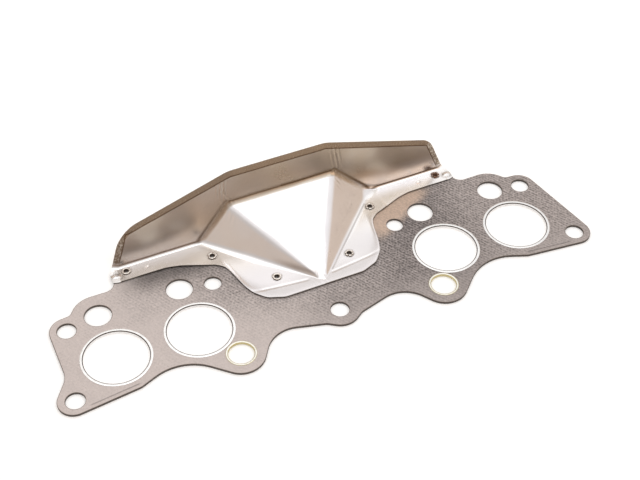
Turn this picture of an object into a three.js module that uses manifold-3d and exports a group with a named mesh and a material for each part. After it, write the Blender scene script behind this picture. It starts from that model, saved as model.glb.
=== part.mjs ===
import * as THREE from 'three';
import Module from 'manifold-3d';
import { mergeVertices } from 'three/addons/utils/BufferGeometryUtils.js';

// Exhaust manifold gasket for a four-cylinder head, with a pressed heat shield riveted
// along its rear edge. Millimetres. X runs along the row of ports, +Y towards the shield
// and +Z away from the cylinder head. The origin lies on the face that meets the head, on
// the mid-line and on the line through the port centres.

// ---- Gasket plate: a steel core between two soft facings ----
const FACING = 0.5;
const CORE = 0.5;
const STACK = 2 * FACING + CORE;

const PORT_X = [78.9, 127.8];
const PORT_R = 18.5;
const AIR_R = 7.9;
const BOLT_R = 5.5;
const DOWEL_R = 5.1;
const RINGED_R = 7.4;

const MID_BOLT = [0, -18.3];
const CORNER_BOLT = [157.1, -19.75];
const UPPER_BOLT = [147.7, 29.2];
const DOWEL = [59.5, 29.9];
const OUTER_AIR = [128.1, 33.1];
const INNER_AIR = [78.9, 33.45];
const RINGED = [63.7, -25.4];

// ---- Rings folded round the ports and round the two lined stud holes ----
const RING_SHEET = 0.2;
const RING_WEB = 0.3;
const RING_LAP = 1.9;
const EYELET_LAP = 1.4;
const RING_GAP = 0.15;
const PRESSED_IN = 0.2;
const PORT_SIDES = 36;
const RINGED_SIDES = 20;

// ---- Heat shield: one folded sheet ----
const SHEET = 0.5;
const APEX_Y = 6.3;
const WALL_Y = 63.5;
const WALL_LEAN = THREE.MathUtils.degToRad(10);
const NOSE_X = { left: 0, right: 2.2 };
const BASE_X = { left: -55.5, right: 58.4 };
const CREST_X = 35;
const CREST_H = 21.5;
const TOP_H = 43;
const TOP_HALF = 31.6;
const WING_SLOPE = THREE.MathUtils.degToRad(15.5);
const SIDE_FOOT_X = { left: 110.6, right: 111.6 };
const SIDE_LEAN = THREE.MathUtils.degToRad(21.3);
const CORNER_ROUND = { left: 8.5, right: 4 };
const FLANGE_END_X = 112.5;
const WALL_BEND_R = 2;
const FOOT_BEND = 2.4;
const BASE_BEND = { bend: 4.5, rx: 12, ry: 9 };
const RIDGE_BEND = 2;
const LIP_WIDTH = 4;
const LIP_SLOPE = Math.tan(THREE.MathUtils.degToRad(24));
const BEAD = { x: 110, y: 56.4, rx: 4, ry: 2.6, h: 0.9 };

// ---- Eyelet rivets through shield and plate ----
const RIVETS = [[23.5, 19], [52.2, 50], [102.8, 58.9]];
const RIVET_SHANK_R = 1.7;
const RIVET_BORE_R = 1.1;
const RIVET_HEAD_R = 2.5;
const RIVET_HOLE_R = 1.8;
const RIVET_TAIL_R = 2.2;

const material = (color, roughness, metalness) =>
  new THREE.MeshStandardMaterial({ color, roughness, metalness });
const GRAPHITE = material(0xa59c98, 0.75, 0.1);
const CORE_STEEL = material(0x6f6a66, 0.45, 0.9);
const BRIGHT_STEEL = material(0xcfccc8, 0.25, 1);
const RING_STEEL = material(0xdddcda, 0.22, 1);
const YELLOW_ZINC = material(0xb7ad7c, 0.35, 1);
const RIVET_STEEL = material(0x8f7f6c, 0.45, 0.9);

const group = new THREE.Group();
group.name = 'exhaust_manifold_gasket';

function place(name, geometry, mat) {
  const mesh = new THREE.Mesh(geometry, mat);
  mesh.name = name;
  group.add(mesh);
  return mesh;
}

const wasm = await Module();
wasm.setup();

function toSolid(geometry) {
  const bare = new THREE.BufferGeometry();
  bare.setAttribute('position', geometry.getAttribute('position').clone());
  bare.setIndex(geometry.index);
  const merged = mergeVertices(bare, 1e-4);
  const mesh = new wasm.Mesh({
    numProp: 3,
    vertProperties: Float32Array.from(merged.getAttribute('position').array),
    triVerts: Uint32Array.from(merged.index.array),
  });
  return new wasm.Manifold(mesh);
}

function toGeometry(solid) {
  const mesh = solid.getMesh();
  const geometry = new THREE.BufferGeometry();
  geometry.setAttribute('position', new THREE.BufferAttribute(mesh.vertProperties, 3));
  geometry.setIndex(new THREE.BufferAttribute(mesh.triVerts, 1));
  return geometry;
}

// A closed outline as a belt laid round circles [x, y, r] in counter-clockwise order.
// A positive radius rounds a corner outwards and a negative one rounds it inwards.
function belt(circles, step = Math.PI / 8) {
  const n = circles.length;
  const heading = circles.map(([x, y, r], i) => {
    const [x2, y2, r2] = circles[(i + 1) % n];
    const dx = x2 - x;
    const dy = y2 - y;
    return Math.atan2(dy, dx) - Math.asin((r2 - r) / Math.hypot(dx, dy));
  });
  const points = [];
  circles.forEach(([x, y, r], i) => {
    const from = heading[(i + n - 1) % n];
    let turn = heading[i] - from;
    turn -= 2 * Math.PI * Math.round(turn / (2 * Math.PI));
    const count = Math.max(1, Math.ceil(Math.abs(turn) / step));
    for (let k = 0; k <= count; k++) {
      const a = from + (turn * k) / count;
      points.push(new THREE.Vector2(x + r * Math.sin(a), y - r * Math.cos(a)));
    }
  });
  return points;
}

function circlePath([x, y], r, segments) {
  const path = new THREE.Path();
  const points = [];
  for (let i = 0; i < segments; i++) {
    const a = (2 * Math.PI * i) / segments;
    points.push(new THREE.Vector2(x + r * Math.cos(a), y + r * Math.sin(a)));
  }
  path.setFromPoints(points);
  return path;
}

const mirrored = ([x, y, r]) => [-x, y, r];

// From the middle lug along the lower edge to the right-hand corner lug.
const lowerEdge = [
  [13.7, -30.5, -6],
  [33, -38.3, -18.6],
  [...RINGED, 14.1],
  [101.8, -47.9, -28.4],
  [123.8, -16.1, 9.3],
  [157.4, -19.4, 9.6],
];
// From the upper right corner along the rear edge, and in under the shield to its apex.
const rearEdge = [
  [147.5, 29, 10],
  [144.8, 43.3, -4],
  [...OUTER_AIR, 15.5],
  [118.6, 55, -6.5],
  [110.1, 59.7, 2],
  [58.8, 60.7, 1],
];
const APEX_NOTCH = [0, 7.5, -3];
const LEFT_WAIST = [-171.5, 1.7, -14];

const plateOutline = belt([
  [...MID_BOLT, 11.8],
  ...lowerEdge,
  ...rearEdge,
  APEX_NOTCH,
  ...rearEdge.map(mirrored).reverse(),
  LEFT_WAIST,
  ...lowerEdge.map(mirrored).reverse(),
]);

// One layer of the plate, with its hole radii for the ports, the lined holes and the rivets.
function layer(bottom, thickness, portR, ringedR, rivetR) {
  const shape = new THREE.Shape(plateOutline);
  shape.holes.push(circlePath(MID_BOLT, BOLT_R, 16));
  for (const side of [1, -1]) {
    const hole = ([x, y], r, segments) => {
      shape.holes.push(circlePath([side * x, y], r, segments));
    };
    for (const x of PORT_X) {
      hole([x, 0], portR, PORT_SIDES);
    }
    hole(CORNER_BOLT, BOLT_R, 16);
    hole(UPPER_BOLT, BOLT_R, 16);
    hole(DOWEL, DOWEL_R, 16);
    hole(OUTER_AIR, AIR_R, 20);
    hole(INNER_AIR, AIR_R, 20);
    hole(RINGED, ringedR, RINGED_SIDES);
    for (const centre of RIVETS) {
      hole(centre, rivetR, 12);
    }
  }
  const geometry = new THREE.ExtrudeGeometry(shape, { depth: thickness, bevelEnabled: false });
  geometry.translate(0, 0, bottom);
  return geometry;
}

const WEB_GAP = RING_WEB + RING_GAP;
const throughHoles = [PORT_R + WEB_GAP, RINGED_R + WEB_GAP, RIVET_HOLE_R];
// The head side is pressed in round the rings and rivet tails, so they lie flush with it.
const pressedHoles = [PORT_R + RING_LAP + 0.1, RINGED_R + EYELET_LAP + 0.1, RIVET_TAIL_R + 0.1];

const rearSolid = toSolid(layer(0, PRESSED_IN, ...pressedHoles))
  .add(toSolid(layer(PRESSED_IN, FACING - PRESSED_IN, ...throughHoles)));
place('facing_rear', toGeometry(rearSolid), GRAPHITE);
place('gasket_core', layer(FACING, CORE, ...throughHoles), CORE_STEEL);
place('facing_front', layer(FACING + CORE, FACING, ...throughHoles), GRAPHITE);

// A thin ring folded round the edge of a hole: a web inside the hole and a lap on each face.
// The rear lap is flush with the rear facing and the front lap stands on the front facing.
function foldedRing(name, x, y, r, lap, segments, mat) {
  const high = STACK + RING_SHEET;
  const web = r + RING_WEB;
  const edge = r + lap;
  const profile = [
    [r, 0], [edge, 0], [edge, PRESSED_IN], [web, PRESSED_IN],
    [web, STACK], [edge, STACK], [edge, high], [r, high], [r, 0],
  ].map(([px, py]) => new THREE.Vector2(px, py));
  const geometry = new THREE.LatheGeometry(profile, segments);
  geometry.rotateX(Math.PI / 2);
  geometry.translate(x, y, 0);
  return place(name, geometry, mat);
}

[-PORT_X[1], -PORT_X[0], PORT_X[0], PORT_X[1]].forEach((x, i) => {
  foldedRing(`fire_ring_${i + 1}`, x, 0, PORT_R, RING_LAP, PORT_SIDES, RING_STEEL);
});
foldedRing('eyelet_ring_left', -RINGED[0], RINGED[1], RINGED_R, EYELET_LAP, RINGED_SIDES, YELLOW_ZINC);
foldedRing('eyelet_ring_right', RINGED[0], RINGED[1], RINGED_R, EYELET_LAP, RINGED_SIDES, YELLOW_ZINC);

// ---- Heat shield ----
// The sheet's front face is where a distance field is zero, and its back face is where the
// field is one sheet thickness below zero. h is the height above the flange's front face.

const softMin = (a, b, k) => {
  const t = Math.max(k - Math.abs(a - b), 0) / k;
  return Math.min(a, b) - (t * t * k) / 4;
};
const softMax = (a, b, k) => -softMin(-a, -b, k);
const roundMin = (a, b, r) =>
  Math.max(r, Math.min(a, b)) - Math.hypot(Math.max(r - a, 0), Math.max(r - b, 0));
const bump = (t) => (t < 1 ? (1 - t * t) ** 2 : 0);

const crest = new THREE.Vector3(CREST_X, WALL_Y + CREST_H * Math.tan(WALL_LEAN), CREST_H);
const crestLeft = new THREE.Vector3(-crest.x, crest.y, crest.z);
const nose = (side) => new THREE.Vector3(NOSE_X[side], APEX_Y, 0);
const base = (side) => new THREE.Vector3(BASE_X[side], WALL_Y, 0);
const through = (...points) => new THREE.Plane().setFromCoplanarPoints(...points);
const frontPanel = through(nose('left'), crest, crestLeft);
const rightFacet = through(nose('right'), base('right'), crest);
const leftFacet = through(nose('left'), crestLeft, base('left'));

// Distance inside the wall's outline, measured in the wall: top edge, sloping wing, side.
function insideWall(x, h) {
  const ax = Math.abs(x);
  const top = TOP_H - h;
  const wing = top * Math.cos(WING_SLOPE) - (ax - TOP_HALF) * Math.sin(WING_SLOPE);
  const footX = x < 0 ? SIDE_FOOT_X.left : SIDE_FOOT_X.right;
  const side = (footX - ax) * Math.cos(SIDE_LEAN) - h * Math.sin(SIDE_LEAN);
  return roundMin(softMin(top, wing, 1), side, x < 0 ? CORNER_ROUND.left : CORNER_ROUND.right);
}

function shieldField(x, y, h) {
  const point = new THREE.Vector3(x, y, h);
  const facets = Math.max(leftFacet.distanceToPoint(point), rightFacet.distanceToPoint(point));
  const roof = softMax(frontPanel.distanceToPoint(point), facets, RIDGE_BEND);
  const bead = BEAD.h * bump(Math.hypot((Math.abs(x) - BEAD.x) / BEAD.rx, (y - BEAD.y) / BEAD.ry));
  // The corner where the right facet meets flange and wall is pressed in a wide curve.
  const fromBase = Math.hypot((x - BASE_X.right) / BASE_BEND.rx, (y - WALL_Y) / BASE_BEND.ry);
  const foot = softMin(h - bead, roof, FOOT_BEND + BASE_BEND.bend * bump(fromBase));
  const lip = LIP_SLOPE * Math.max(LIP_WIDTH - insideWall(x, h), 0);
  const wall = (WALL_Y + h * Math.tan(WALL_LEAN) - y) * Math.cos(WALL_LEAN) + lip;
  return roundMin(foot, wall, WALL_BEND_R);
}

// Front edge of the flange, from the mid-line out to its end.
const flangeEdge = new THREE.SplineCurve([
  [0, 2], [12, 2], [25, 2], [35, 5.8], [41, 12.6], [44.3, 21], [45.8, 30], [48, 38],
  [53, 42.4], [60, 45], [72, 49.8], [80, 51.6], [95, 51.9], [110, 51.9], [FLANGE_END_X, 53],
].map(([x, y]) => new THREE.Vector2(x, y))).getPoints(240);

function flangeFront(x) {
  const i = flangeEdge.findIndex((p) => p.x >= x);
  if (i <= 0) {
    return flangeEdge[0].y;
  }
  const a = flangeEdge[i - 1];
  const b = flangeEdge[i];
  return THREE.MathUtils.mapLinear(x, a.x, b.x, a.y, b.y);
}

// Where the section at x ends at the rear: up the wall, or on the flange beyond the wall.
function sectionEnd(x) {
  if (insideWall(x, 0) <= 0) {
    const footX = x < 0 ? SIDE_FOOT_X.left : SIDE_FOOT_X.right;
    return [WALL_Y - 0.5 - 1.6 * (Math.abs(x) - footX), 0];
  }
  let low = 0;
  let high = TOP_H;
  for (let i = 0; i < 30; i++) {
    const h = (low + high) / 2;
    if (insideWall(x, h) > 0) {
      low = h;
    } else {
      high = h;
    }
  }
  return [WALL_Y + low * Math.tan(WALL_LEAN), low];
}

// Every section is seen whole from this point in front of the shield.
const EYE = { y: 25, h: 80 };

function onShield(x, angle, level) {
  const dy = Math.sin(angle);
  const dh = -Math.cos(angle);
  let near = 0;
  let far = 160;
  for (let i = 0; i < 40; i++) {
    const d = (near + far) / 2;
    if (shieldField(x, EYE.y + d * dy, EYE.h + d * dh) > level) {
      near = d;
    } else {
      far = d;
    }
  }
  return new THREE.Vector3(x, EYE.y + near * dy, STACK + SHEET + EYE.h + near * dh);
}

// Rows across the section, closer together where the sheet bends.
function sectionAngles(x, rows) {
  const [endY, endH] = sectionEnd(x);
  const start = Math.atan2(flangeFront(Math.abs(x)) - EYE.y, EYE.h);
  const end = Math.atan2(endY - EYE.y, EYE.h - endH);
  const fine = 160;
  const points = [];
  for (let i = 0; i <= fine; i++) {
    points.push(onShield(x, start + ((end - start) * i) / fine, 0));
  }
  const weight = [0];
  for (let i = 1; i <= fine; i++) {
    const step = points[i].clone().sub(points[i - 1]);
    const next = points[Math.min(i + 1, fine)].clone().sub(points[Math.min(i, fine - 1)]);
    weight.push(weight[i - 1] + step.length() + 45 * step.angleTo(next));
  }
  const angles = [start];
  let i = 1;
  for (let k = 1; k < rows; k++) {
    const target = (weight[fine] * k) / rows;
    while (weight[i] < target) {
      i++;
    }
    const t = (target - weight[i - 1]) / (weight[i] - weight[i - 1]);
    angles.push(start + ((end - start) * (i - 1 + t)) / fine);
  }
  angles.push(end);
  return angles;
}

const HALF_COLUMNS = [
  5, 12, 20, 28, 32, 35, 38, 41, 43.5, 45.5, 48, 52, 55, 57, 60, 66, 76, 88, 96, 100,
  103, 105.5, 107.8, 110, 111.4, FLANGE_END_X,
];
const ROWS = 20;

function shieldGeometry() {
  const columns = [...HALF_COLUMNS.map((x) => -x).reverse(), 0, ...HALF_COLUMNS];
  const positions = [];
  const index = [];
  for (const x of columns) {
    for (const angle of sectionAngles(x, ROWS)) {
      const front = onShield(x, angle, 0);
      const back = onShield(x, angle, -SHEET);
      positions.push(front.x, front.y, front.z, back.x, back.y, back.z);
    }
  }
  const at = (column, row, back) => 2 * (column * (ROWS + 1) + row) + back;
  const quad = (a, b, c, d) => index.push(a, b, c, a, c, d);
  const last = columns.length - 1;
  for (let c = 0; c < last; c++) {
    for (let r = 0; r < ROWS; r++) {
      quad(at(c, r, 0), at(c + 1, r, 0), at(c + 1, r + 1, 0), at(c, r + 1, 0));
      quad(at(c, r, 1), at(c, r + 1, 1), at(c + 1, r + 1, 1), at(c + 1, r, 1));
    }
    quad(at(c, 0, 0), at(c, 0, 1), at(c + 1, 0, 1), at(c + 1, 0, 0));
    quad(at(c, ROWS, 0), at(c + 1, ROWS, 0), at(c + 1, ROWS, 1), at(c, ROWS, 1));
  }
  for (let r = 0; r < ROWS; r++) {
    quad(at(0, r, 0), at(0, r + 1, 0), at(0, r + 1, 1), at(0, r, 1));
    quad(at(last, r, 0), at(last, r, 1), at(last, r + 1, 1), at(last, r + 1, 0));
  }
  const geometry = new THREE.BufferGeometry();
  geometry.setAttribute('position', new THREE.Float32BufferAttribute(positions, 3));
  geometry.setIndex(index);
  return geometry;
}

let shield = toSolid(shieldGeometry());
for (const [x, y] of RIVETS) {
  for (const side of [1, -1]) {
    const drill = new THREE.CylinderGeometry(RIVET_HOLE_R, RIVET_HOLE_R, 6, 12);
    drill.rotateX(Math.PI / 2);
    drill.translate(side * x, y, STACK);
    shield = shield.subtract(toSolid(drill));
  }
}
place('heat_shield', toGeometry(shield), BRIGHT_STEEL);

// ---- Eyelet rivets: a rolled head on the shield, a pierced shank and a tail pressed flush ----
const RIVET_SEAT = STACK + SHEET + 0.05;
const rivetProfile = [
  [RIVET_BORE_R, 0], [RIVET_TAIL_R, 0], [RIVET_TAIL_R, PRESSED_IN],
  [RIVET_SHANK_R, PRESSED_IN], [RIVET_SHANK_R, RIVET_SEAT], [RIVET_HEAD_R, RIVET_SEAT],
  [RIVET_HEAD_R - 0.1, RIVET_SEAT + 0.4], [2, RIVET_SEAT + 0.7],
  [1.5, RIVET_SEAT + 0.55], [RIVET_BORE_R, RIVET_SEAT], [RIVET_BORE_R, 0],
].map(([x, y]) => new THREE.Vector2(x, y));

RIVETS.forEach(([x, y], i) => {
  for (const [side, label] of [[-1, 'left'], [1, 'right']]) {
    const rivet = new THREE.LatheGeometry(rivetProfile, 12);
    rivet.rotateX(Math.PI / 2);
    rivet.translate(side * x, y, 0);
    place(`rivet_${label}_${i + 1}`, rivet, RIVET_STEEL);
  }
});

export default group;
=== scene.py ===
import math

import bpy
import numpy as np
from mathutils import Matrix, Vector
from mathutils.geometry import delaunay_2d_cdt


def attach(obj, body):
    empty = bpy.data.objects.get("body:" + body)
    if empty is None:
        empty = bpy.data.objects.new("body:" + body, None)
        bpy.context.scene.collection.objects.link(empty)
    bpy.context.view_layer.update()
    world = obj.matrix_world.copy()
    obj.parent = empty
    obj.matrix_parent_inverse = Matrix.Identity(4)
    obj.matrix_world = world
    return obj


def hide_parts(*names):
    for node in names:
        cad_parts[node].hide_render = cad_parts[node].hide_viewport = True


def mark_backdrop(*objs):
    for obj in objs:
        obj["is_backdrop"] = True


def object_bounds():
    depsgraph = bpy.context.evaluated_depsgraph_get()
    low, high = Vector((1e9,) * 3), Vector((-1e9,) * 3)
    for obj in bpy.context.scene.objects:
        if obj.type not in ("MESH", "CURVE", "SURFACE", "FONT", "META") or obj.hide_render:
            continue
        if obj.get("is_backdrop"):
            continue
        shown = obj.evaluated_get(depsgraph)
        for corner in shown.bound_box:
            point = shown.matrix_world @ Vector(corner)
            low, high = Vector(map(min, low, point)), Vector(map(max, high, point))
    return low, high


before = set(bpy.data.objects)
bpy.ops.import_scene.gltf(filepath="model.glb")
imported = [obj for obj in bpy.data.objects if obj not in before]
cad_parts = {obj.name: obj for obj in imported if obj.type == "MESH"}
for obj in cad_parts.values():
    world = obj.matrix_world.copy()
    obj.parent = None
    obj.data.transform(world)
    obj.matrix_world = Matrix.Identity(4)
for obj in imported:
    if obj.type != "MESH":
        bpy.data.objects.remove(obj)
cad_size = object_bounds()


# ---- Studio ----
# The gasket lies on a plain white table under a wide, soft white ceiling light. The sides of
# the room are warm grey, the viewer's side is darker, and a pale board stands at its right.

FLOOR_COLOUR = (0.93, 0.93, 0.93, 1)
FLOOR_Z = -0.0002
FLOOR_HALF = 4
CEILING = (1.0, 0.99, 0.985, 1)
ROOM_SIDE = (0.76, 0.63, 0.52, 1)
VIEWER_SIDE = (0.47, 0.36, 0.28, 1)
CEILING_WEST = (0.66, 0.62, 0.59, 1)
PALE_BOARD = (1.5, 1.2, 0.95, 1)
SKYLIGHT = (2.0, 2.1, 2.2, 1)


class Wire:
    """One value inside a shader. Arithmetic on it adds the Math nodes that work it out."""

    def __init__(self, tree, socket):
        self.tree = tree
        self.socket = socket

    def maths(self, operation, *terms):
        made = self.tree.nodes.new("ShaderNodeMath")
        made.operation = operation
        for slot, term in zip(made.inputs, terms):
            plug(self.tree, slot, term)
        return Wire(self.tree, made.outputs[0])

    def __add__(self, other):
        return self.maths("ADD", self, other)

    def __radd__(self, other):
        return self.maths("ADD", other, self)

    def __sub__(self, other):
        return self.maths("SUBTRACT", self, other)

    def __rsub__(self, other):
        return self.maths("SUBTRACT", other, self)

    def __mul__(self, other):
        return self.maths("MULTIPLY", self, other)

    def __rmul__(self, other):
        return self.maths("MULTIPLY", other, self)

    def __truediv__(self, other):
        return self.maths("DIVIDE", self, other)

    def __rtruediv__(self, other):
        return self.maths("DIVIDE", other, self)

    def __pow__(self, other):
        return self.maths("POWER", self, other)

    def __rpow__(self, other):
        return self.maths("POWER", other, self)

    def __mod__(self, other):
        return self.maths("FLOORED_MODULO", self, other)

    def __abs__(self):
        return self.maths("ABSOLUTE", self)

    def smaller(self, other):
        return self.maths("MINIMUM", self, other)

    def larger(self, other):
        return self.maths("MAXIMUM", self, other)


def plug(tree, slot, value):
    if isinstance(value, Wire):
        tree.links.new(value.socket, slot)
    else:
        slot.default_value = value


class Finish:
    """The shader of a material, or of the world's light, as it is being built."""

    def __init__(self, owner):
        owner.use_nodes = True
        self.owner = owner
        self.tree = owner.node_tree

    def node(self, kind, settings, values, output=0):
        made = self.tree.nodes.new("ShaderNode" + kind)
        for name, value in settings.items():
            setattr(made, name, value)
        for name, value in values.items():
            plug(self.tree, made.inputs[name], value)
        return Wire(self.tree, made.outputs[output])

    def axes(self, vector):
        """The x, y and z parts."""
        return [self.node("SeparateXYZ", {}, {0: vector}, k) for k in range(3)]

    def millimetres(self):
        """The place on the piece, in the frame's axes."""
        place = self.node("TexCoord", {}, {}, "Object")
        return self.node("VectorMath", {"operation": "SCALE"}, {0: place, "Scale": 1000})

    def stretched(self, vector, factors):
        return self.node("VectorMath", {"operation": "MULTIPLY"}, {0: vector, 1: factors})

    def noise(self, vector, size, detail=2.0, roughness=0.5):
        values = {"Vector": vector, "Scale": 1 / size, "Detail": detail, "Roughness": roughness}
        return self.node("TexNoise", {}, values, 0)

    def rise(self, wire, start, end):
        """0 below start, 1 above end and a smooth slope between them."""
        values = {"Value": wire, "From Min": start, "From Max": end}
        return self.node("MapRange", {"interpolation_type": "SMOOTHSTEP"}, values)

    def blend(self, amount, first, second):
        values = {0: amount, 6: first, 7: second}
        return self.node("Mix", {"data_type": "RGBA"}, values, 2)

    def tint(self, colour, shade):
        """A colour made lighter or darker by a number round 1."""
        if isinstance(colour, tuple):
            colour = colour[:3]
        return self.node("VectorMath", {"operation": "SCALE"}, {0: colour, "Scale": shade})

    def bump(self, height, depth, strength):
        """Fine relief, with its depth in millimetres."""
        values = {"Height": height, "Distance": depth * 0.001, "Strength": strength}
        return self.node("Bump", {}, values)

    def surface(self, **values):
        shader = self.tree.nodes["Principled BSDF"]
        for name, value in values.items():
            plug(self.tree, shader.inputs[name.replace("_", " ")], value)


scene = bpy.context.scene
scene.view_settings.view_transform = "Standard"

world = bpy.data.worlds.new("studio")
scene.world = world
room = Finish(world)
toward = room.node("TexCoord", {}, {}, "Generated")
east, north, up = room.axes(toward)
side = room.blend(room.rise(north, -0.2, -0.85), ROOM_SIDE, VIEWER_SIDE)
board = room.rise(east, 0.2, 0.4) * room.rise(north, -0.3, -0.5)
board = board * room.rise(up, 0.34, 0.46) * room.rise(up, 0.8, 0.6)
ceiling = room.blend(room.rise(east, 0.05, 0.36), CEILING_WEST, CEILING)
ceiling = room.blend(room.rise(up, 0.78, 0.9), ceiling, CEILING)
sky = room.blend(room.rise(up, 0.38, 0.62), side, ceiling)
sky = room.blend(board, sky, PALE_BOARD)
skylight = room.rise(up, 0.74, 0.84) * room.rise(east, 0.24, 0.38) * room.rise(north, -0.08, -0.25)
sky = room.blend(skylight, sky, SKYLIGHT)
plug(room.tree, room.tree.nodes["Background"].inputs["Color"], sky)
plug(room.tree, room.tree.nodes["Background"].inputs["Strength"], 1.0)

floor_mesh = bpy.data.meshes.new("floor")
corners = [(-1, -1), (1, -1), (1, 1), (-1, 1)]
floor_points = [(i * FLOOR_HALF, j * FLOOR_HALF, FLOOR_Z) for i, j in corners]
floor_mesh.from_pydata(floor_points, [], [(0, 1, 2, 3)])
floor_finish = Finish(bpy.data.materials.new("white_table"))
floor_finish.surface(
    Base_Color=FLOOR_COLOUR, Roughness=0.8, Specular_IOR_Level=0.1,
    Emission_Color=(1, 1, 1, 1), Emission_Strength=0.25,
)
floor_mesh.materials.append(floor_finish.owner)
floor = bpy.data.objects.new("floor", floor_mesh)
scene.collection.objects.link(floor)

lamp_data = bpy.data.lights.new("ceiling_lamp", "AREA")
lamp_data.shape = "DISK"
lamp_data.size = 1.6
lamp_data.energy = 4
lamp = bpy.data.objects.new("ceiling_lamp", lamp_data)
lamp.location = (0.1, 0.5, 1.6)
lamp.rotation_euler = (math.radians(-17), 0, 0)
scene.collection.objects.link(lamp)
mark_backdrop(floor, lamp)

camera_data = bpy.data.cameras.new("camera")
camera_data.sensor_width = 36
camera_data.lens = 69.6
camera_data.clip_start = 0.01
camera = bpy.data.objects.new("camera", camera_data)
# How the camera is turned, with its place in metres in the last column.
camera.matrix_world = Matrix((
    (0.91083, 0.29039, -0.29335, -0.20715),
    (-0.41267, 0.65679, -0.63114, -0.43550),
    (0.00939, 0.69592, 0.71806, 0.53856),
    (0, 0, 0, 1),
))
scene.collection.objects.link(camera)
scene.camera = camera


# ---- Plate: a steel core with a soft facing on each side ----
# Three sheets stamped to one outline. The facings are pressed graphite, grey with rows of small
# dark marks where the core holds them. Stamping leaves their rims a little rounded and dark.

FACING = 0.5
CORE = 0.5
STACK = 2 * FACING + CORE
PORTS = [-127.8, -78.9, 78.9, 127.8]
PORT_R = 18.5
LINED_R = 7.4
LINED = (63.7, -25.4)
PRESSED_IN = 0.2
EDGE_ROUND = 0.12
RIM = 0.32
# The light end of the facing's grey is a painted sheen.
FACING_SHEEN_GREY = (0.60, 0.54, 0.52, 1)
FACING_DARK = (0.215, 0.19, 0.185, 1)
# A painted reflection of the shield's warm wall in the facing.
FACING_TAN_REFLECTION = (0.62, 0.47, 0.37, 1)
RIM_COLOUR = (0.24, 0.20, 0.175, 1)
CUT_COLOUR = (0.05, 0.04, 0.035, 1)
CORE_COLOUR = (0.13, 0.11, 0.095, 1)
MARK_PITCH = 2.15
ROW_PITCH = 0.87 * MARK_PITCH
RIVETS = [(23.5, 19.0), (52.2, 50.0), (102.8, 58.9)]
# Holes as (x, y, radius in the sheets, wider radius pressed into the rear face).
HOLES = [(0, -18.3, 5.5, 5.5)]
for s in (-1, 1):
    HOLES += [(s * 157.1, -19.75, 5.5, 5.5), (s * 147.7, 29.2, 5.5, 5.5)]
    HOLES += [(s * 59.5, 29.9, 5.1, 5.1), (s * 128.1, 33.1, 7.9, 7.9), (s * 78.9, 33.45, 7.9, 7.9)]
    HOLES += [(s * LINED[0], LINED[1], 7.85, 8.9)]
    HOLES += [(s * x, y, 1.8, 2.3) for x, y in RIVETS]
HOLES += [(x, 0, 18.95, 20.5) for x in PORTS]

LOWER_EDGE = [
    (13.7, -30.5, -6), (33, -38.3, -18.6), (LINED[0], LINED[1], 14.1),
    (101.8, -47.9, -28.4), (123.8, -16.1, 9.3), (157.4, -19.4, 9.6),
]
REAR_EDGE = [
    (147.5, 29, 10), (144.8, 43.3, -4), (128.1, 33.1, 15.5), (118.6, 55, -6.5),
    (110.1, 59.7, 2), (58.8, 60.7, 1),
]
OUTLINE = [
    (0, -18.3, 11.8), *LOWER_EDGE, *REAR_EDGE, (0, 7.5, -3),
    *[(-x, y, r) for x, y, r in reversed(REAR_EDGE)], (-171.5, 1.7, -14),
    *[(-x, y, r) for x, y, r in reversed(LOWER_EDGE)],
]


def belt(circles, inset, step=math.pi / 40):
    """A line laid round circles like a belt. Negative radii bend it inwards."""
    circles = [(x, y, r - inset) for x, y, r in circles]
    headings = []
    for (x, y, r), (x2, y2, r2) in zip(circles, circles[1:] + circles[:1]):
        reach = math.hypot(x2 - x, y2 - y)
        headings.append(math.atan2(y2 - y, x2 - x) - math.asin((r2 - r) / reach))
    points = []
    for (x, y, r), start, end in zip(circles, headings[-1:] + headings, headings):
        turn = (end - start + math.pi) % (2 * math.pi) - math.pi
        count = max(1, math.ceil(abs(turn) / step))
        for k in range(count + 1):
            a = start + turn * k / count
            points.append((x + r * math.sin(a), y - r * math.cos(a)))
    return np.array(points)


def ring_points(x, y, r, sides):
    a = np.arange(sides) * 2 * math.pi / sides
    return np.column_stack((x + r * np.cos(a), y + r * np.sin(a)))


def loops(inset, pressed=0):
    """The outline and every hole, drawn in by inset. pressed picks the rear face's wider holes."""
    rings = []
    for x, y, *radii in HOLES:
        sides = 96 if radii[0] > 12 else 48
        rings.append(ring_points(x, y, radii[pressed] + inset, sides))
    return [belt(OUTLINE, inset)] + rings


def within(points, loop):
    """Which points are inside a closed loop, by the number of sides to their right."""
    x, y = points[:, :1], points[:, 1:]
    x1, y1 = loop[:, 0], loop[:, 1]
    x2, y2 = np.roll(x1, -1), np.roll(y1, -1)
    spans = (y1 > y) != (y2 > y)
    cut = (x2 - x1) * (y - y1) / np.where(y2 == y1, 1, y2 - y1) + x1
    return (spans & (x < cut)).sum(axis=1) % 2 == 1


def clear_of(points, loop, gap):
    """Which points are further than gap from a loop's points."""
    keep = np.ones(len(points), bool)
    for start in range(0, len(points), 4000):
        part = points[start:start + 4000]
        far = np.hypot(part[:, None, 0] - loop[:, 0], part[:, None, 1] - loop[:, 1])
        keep[start:start + 4000] = far.min(axis=1) > gap
    return keep


def cap(rings, inner):
    """Triangles that fill the outline less its holes, through the given inner points."""
    points = np.vstack(rings + [inner])
    edges, start = [], 0
    for ring in rings:
        n = len(ring)
        edges += [(start + i, start + (i + 1) % n) for i in range(n)]
        start += n
    out = delaunay_2d_cdt([tuple(p) for p in points], edges, [], 0, 1e-6, True)
    source = [o[0] for o in out[3]]
    faces = np.array([[source[v] for v in face] for face in out[2]])
    middle = points[faces].mean(axis=1)
    keep = within(middle, rings[0])
    for ring in rings[1:]:
        keep &= ~within(middle, ring)
    return faces[keep].tolist()


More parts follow.
